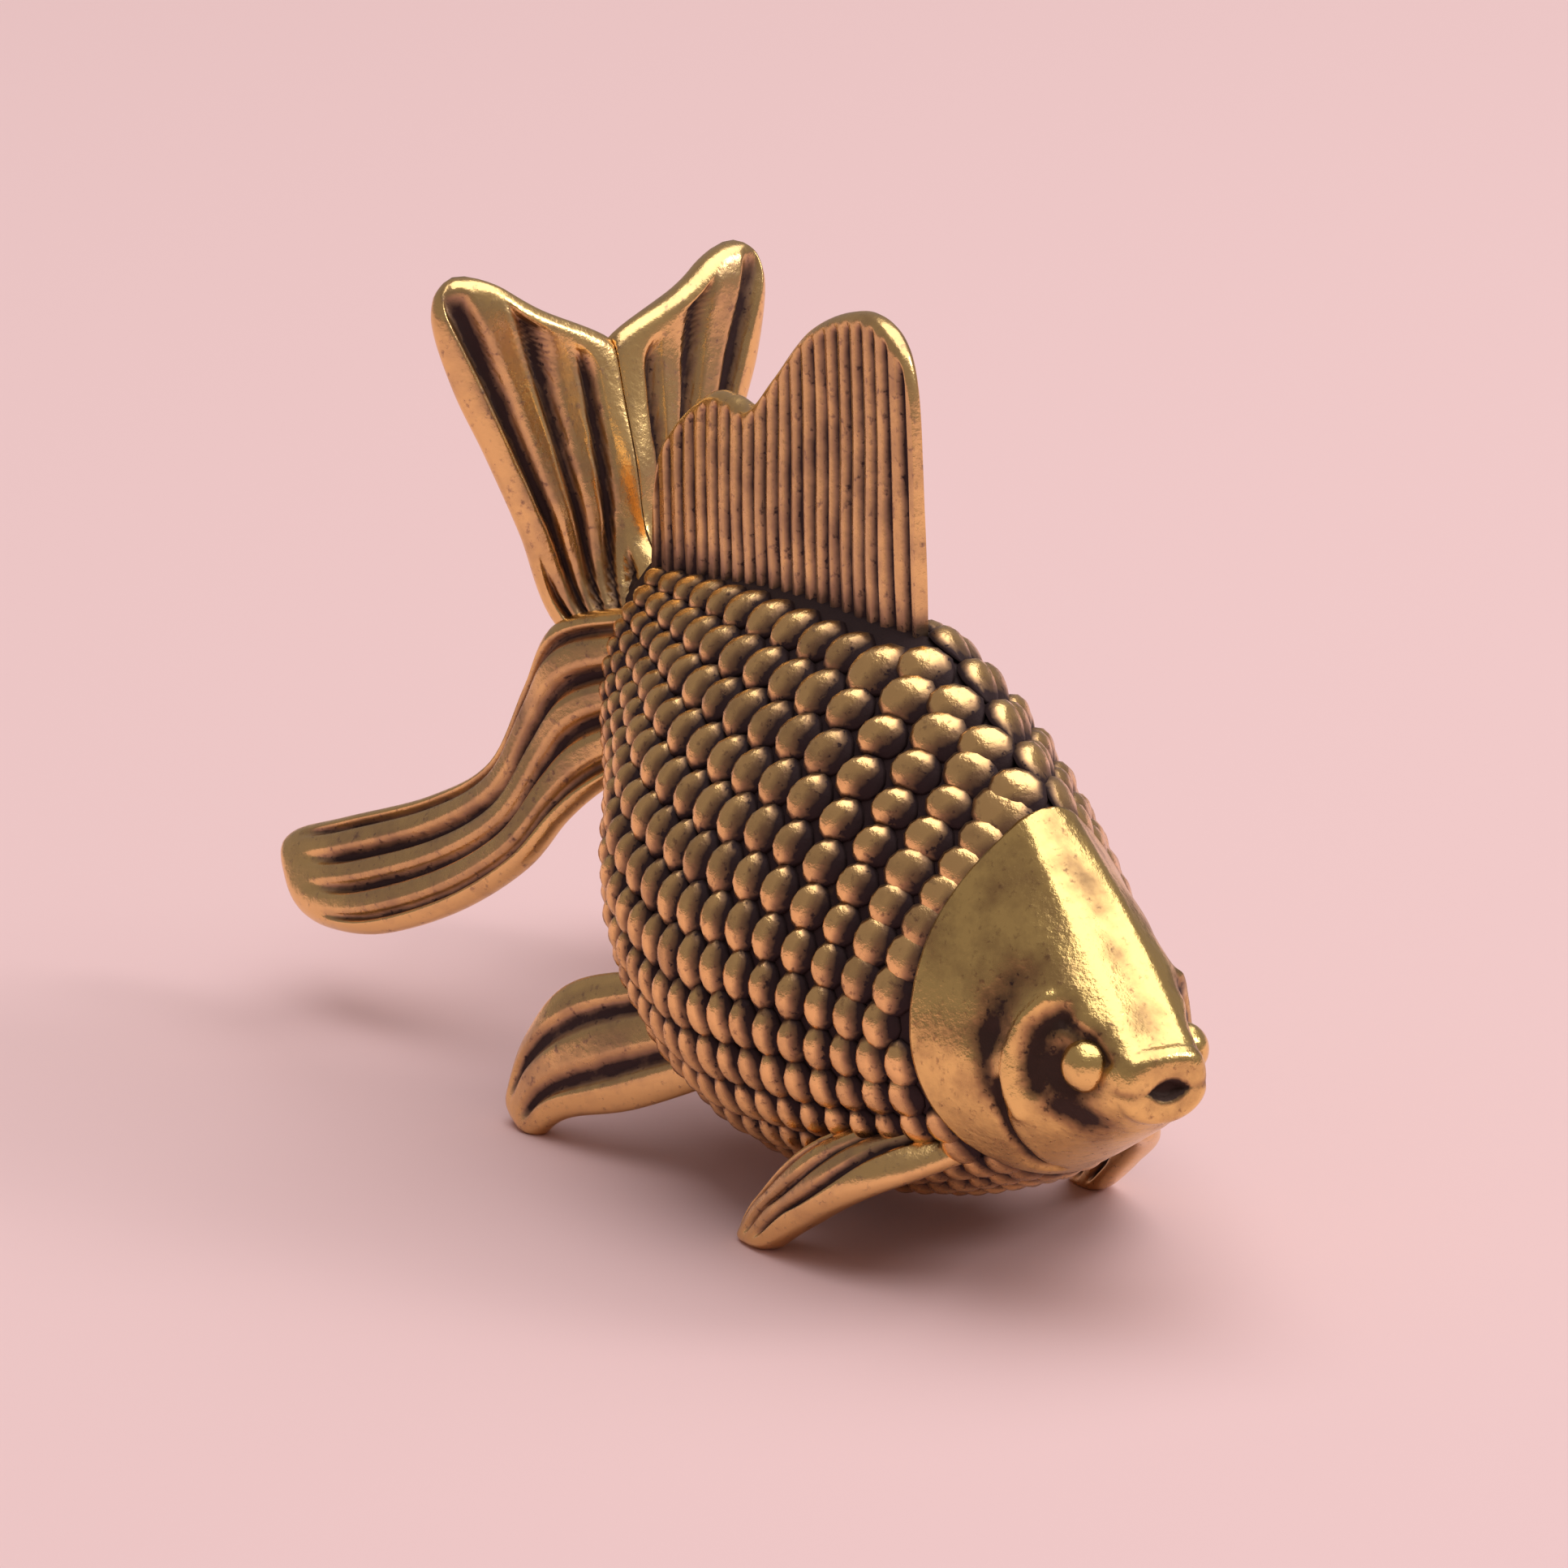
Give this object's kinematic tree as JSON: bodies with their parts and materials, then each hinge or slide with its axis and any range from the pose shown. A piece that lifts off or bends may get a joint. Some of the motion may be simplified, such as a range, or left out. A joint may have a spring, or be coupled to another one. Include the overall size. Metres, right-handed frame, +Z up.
{
  "type": "fish figurine",
  "caption": "Small antique-brass goldfish figurine with a scaled trunk, smooth head, fluted back fin, twin tail and belly fins that it stands on.",
  "frame": {"origin": "on the ground, under the middle of the fish's length and width", "axes": "+X towards the snout, +Y to the fish's left, +Z up"},
  "size_m": [0.042, 0.0136, 0.0259],
  "materials": {
    "scaled_brass": "antique, darkened between the scales",
    "polished_brass": "worn bright, satin",
    "fin_brass": "antique, darkened in the grooves"
  },
  "bodies": {
    "root": {"body": "scaled_brass", "head": "polished_brass", "eye_right": "polished_brass", "eye_left": "polished_brass", "dorsal_fin": "fin_brass", "tail_fin_right": "fin_brass", "tail_fin_left": "fin_brass", "pectoral_fin_right": "fin_brass", "pectoral_fin_left": "fin_brass", "pelvic_fin_right": "fin_brass", "pelvic_fin_left": "fin_brass"}
  },
  "joints": []
}
